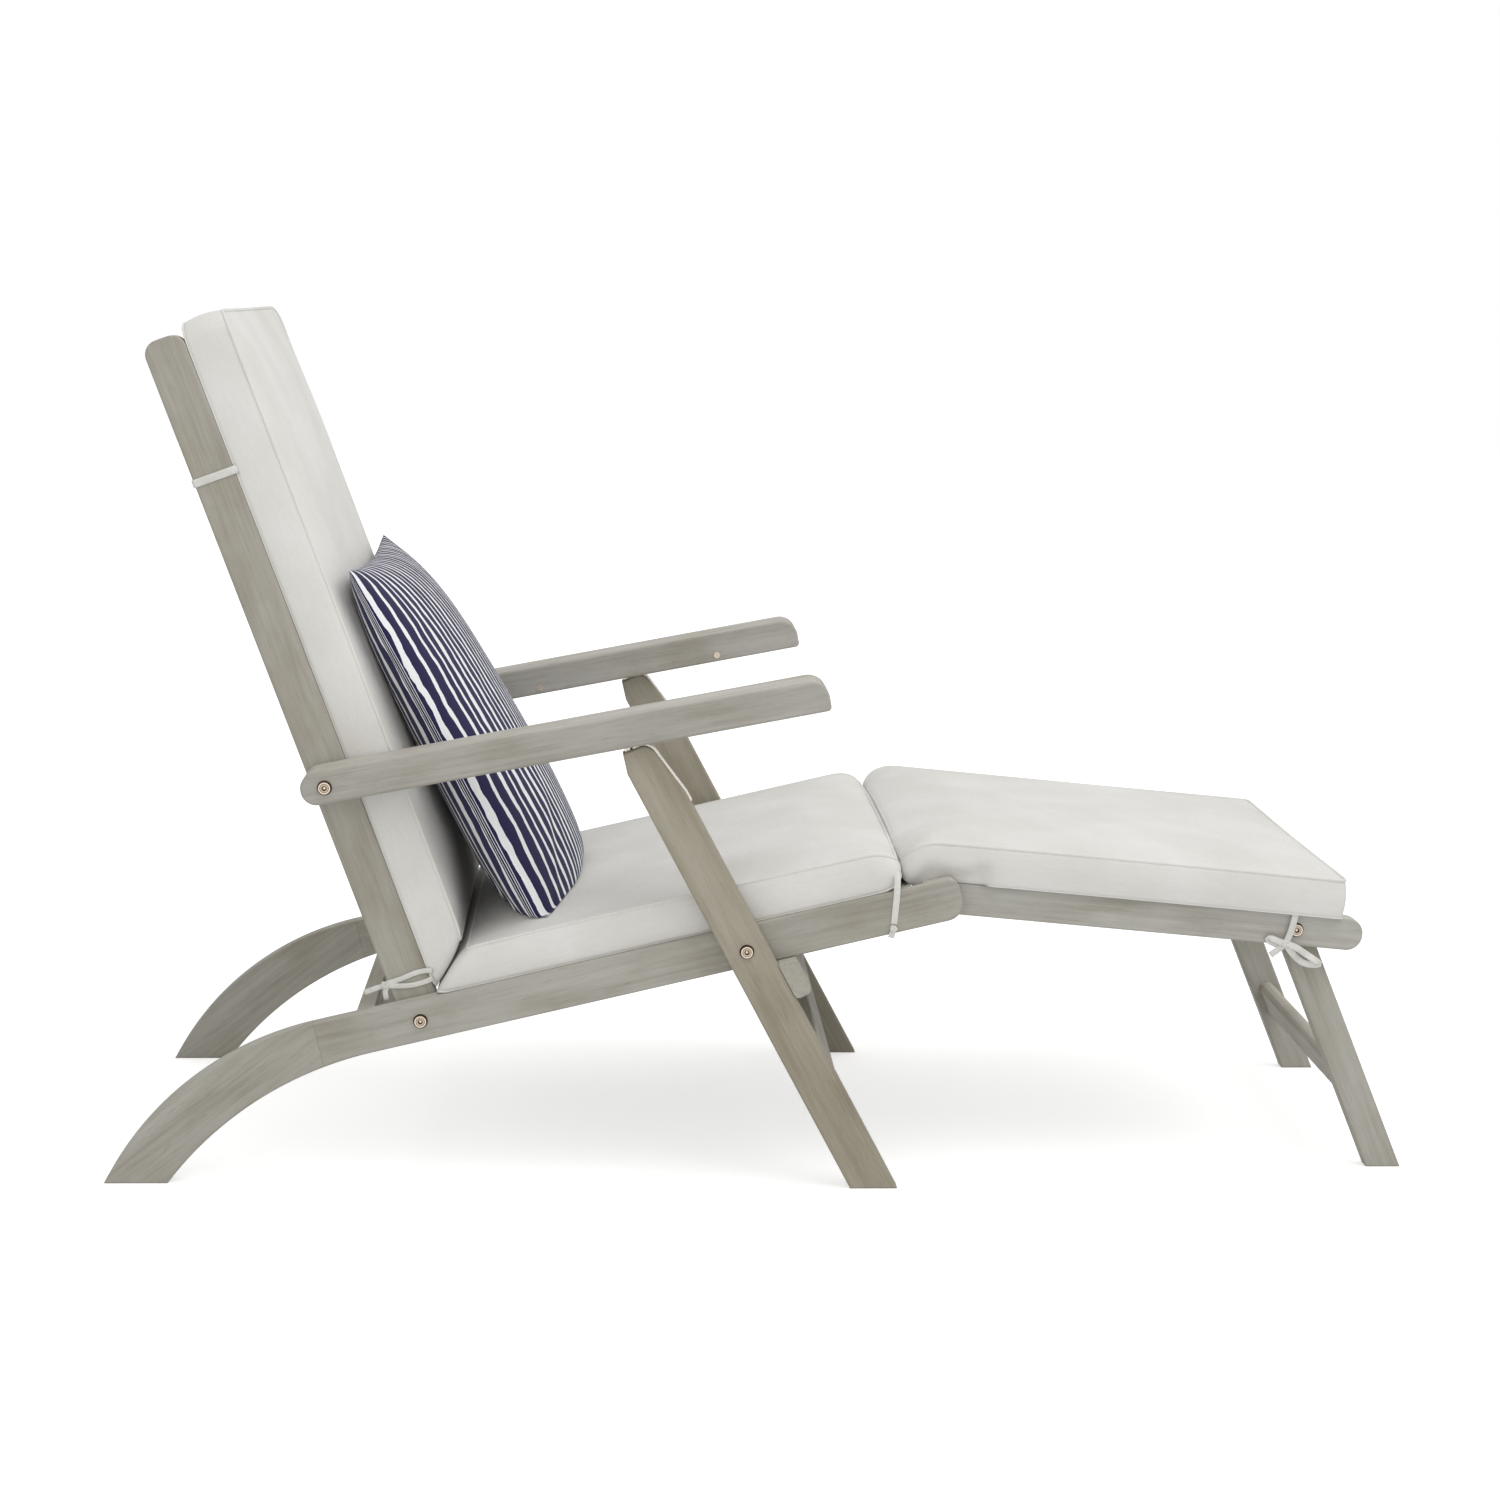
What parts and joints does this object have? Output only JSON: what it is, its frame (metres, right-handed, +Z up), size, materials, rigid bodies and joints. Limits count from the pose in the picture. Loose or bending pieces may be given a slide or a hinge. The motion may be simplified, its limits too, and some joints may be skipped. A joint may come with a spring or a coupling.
{
  "type": "folding wooden lounger",
  "caption": "Folding wooden lounger with reclining slatted back, arms on the front legs, hinged footrest, tie-on cushions and a striped scatter pillow.",
  "frame": {"origin": "on the floor, midway along the length and across the width", "axes": "+X towards the footrest, +Y to the sitter's left, +Z up"},
  "size_m": [1.448, 0.607, 0.946],
  "materials": {
    "frame_wood": "grey-washed, matt",
    "slat_wood": "grey-washed, matt",
    "nickel_hardware": "satin nickel",
    "bright_metal": "brushed",
    "cushion_canvas": "off-white canvas",
    "pillow_canvas": "navy canvas with white stripes",
    "tie_tape": "woven tape"
  },
  "bodies": {
    "seat_frame": {"seat_rail_left": "frame_wood", "seat_rail_right": "frame_wood", "rear_foot_left": "frame_wood", "rear_foot_right": "frame_wood", "rear_cross_rail": "frame_wood", "front_cross_rail": "frame_wood", "seat_slats": "slat_wood", "seat_cushion": "cushion_canvas", "recline_bolt_left": "nickel_hardware", "recline_bolt_right": "nickel_hardware", "recline_washers": "nickel_hardware", "leg_bolt_left": "nickel_hardware", "leg_bolt_right": "nickel_hardware", "leg_washers": "nickel_hardware", "knee_pin_left": "nickel_hardware", "knee_pin_right": "nickel_hardware", "knee_washers": "nickel_hardware", "knee_tape_left": "tie_tape", "knee_tape_right": "tie_tape"},
    "back": {"back_post_left": "frame_wood", "back_post_right": "frame_wood", "back_lower_rail": "frame_wood", "back_upper_rail": "frame_wood", "back_slats": "slat_wood", "back_cushion": "cushion_canvas", "back_strap": "tie_tape", "scatter_pillow": "pillow_canvas", "arm_washers": "nickel_hardware"},
    "arm_pivot_left": {"arm_bolt_left": "nickel_hardware"},
    "arm_pivot_right": {"arm_bolt_right": "nickel_hardware"},
    "arm_assembly_left": {"arm_left": "frame_wood", "arm_rack_left": "bright_metal", "rack_screws_left": "nickel_hardware"},
    "arm_assembly_right": {"arm_right": "frame_wood", "arm_rack_right": "bright_metal", "rack_screws_right": "nickel_hardware"},
    "front_legs": {"front_leg_left": "frame_wood", "front_leg_right": "frame_wood", "leg_guide_left": "bright_metal", "leg_guide_right": "bright_metal", "leg_catch_left": "bright_metal", "leg_catch_right": "bright_metal", "stop_bar": "frame_wood", "leg_stretcher": "frame_wood"},
    "footrest": {"footrest_rail_left": "frame_wood", "footrest_rail_right": "frame_wood", "footrest_slats": "slat_wood", "footrest_end_rail": "frame_wood", "footrest_cushion": "cushion_canvas", "footrest_leg_bolt_left": "nickel_hardware", "footrest_leg_bolt_right": "nickel_hardware", "footrest_leg_washers": "nickel_hardware", "footrest_tape_left": "tie_tape", "footrest_tape_right": "tie_tape"},
    "footrest_legs": {"footrest_leg_left": "frame_wood", "footrest_leg_right": "frame_wood", "footrest_stretcher": "frame_wood"}
  },
  "joints": [
    {"name": "back_recline", "type": "hinge", "parent": "seat_frame", "child": "back", "pos_m": [-0.37806, 0, 0.18311], "axis": [0, 1, 0], "range_deg": [-26.5, 0]},
    {"name": "arm_swing_left", "type": "hinge", "parent": "back", "child": "arm_pivot_left", "pos_m": [-0.47509, 0.27, 0.44683], "axis": [0, 1, 0], "range_deg": [0, 20.1]},
    {"name": "arm_lift_left", "type": "hinge", "parent": "arm_pivot_left", "child": "arm_assembly_left", "pos_m": [-0.47509, 0.27, 0.44683], "axis": [0, 1, 0], "range_deg": [-90, 0]},
    {"name": "arm_swing_right", "type": "hinge", "parent": "back", "child": "arm_pivot_right", "pos_m": [-0.47509, -0.27, 0.44683], "axis": [0, 1, 0], "range_deg": [0, 20.1]},
    {"name": "arm_lift_right", "type": "hinge", "parent": "arm_pivot_right", "child": "arm_assembly_right", "pos_m": [-0.47509, -0.27, 0.44683], "axis": [0, 1, 0], "range_deg": [-90, 0]},
    {"name": "front_leg_fold", "type": "hinge", "parent": "seat_frame", "child": "front_legs", "pos_m": [-0.0248, 0, 0.26662], "axis": [0, 1, 0], "range_deg": [0, 90]},
    {"name": "footrest_fold", "type": "hinge", "parent": "seat_frame", "child": "footrest", "pos_m": [0.18833, 0, 0.317], "axis": [0, 1, 0], "range_deg": [0, 90]},
    {"name": "footrest_leg_fold", "type": "hinge", "parent": "footrest", "child": "footrest_legs", "pos_m": [0.58669, 0, 0.28075], "axis": [0, 1, 0], "range_deg": [0, 100]}
  ],
  "couplings": [
    {"joint": "arm_swing_left", "follows": "back_recline", "ratio": -0.755},
    {"joint": "arm_swing_right", "follows": "back_recline", "ratio": -0.755},
    {"joint": "arm_lift_left", "follows": "front_leg_fold", "ratio": -1},
    {"joint": "arm_lift_right", "follows": "front_leg_fold", "ratio": -1}
  ]
}
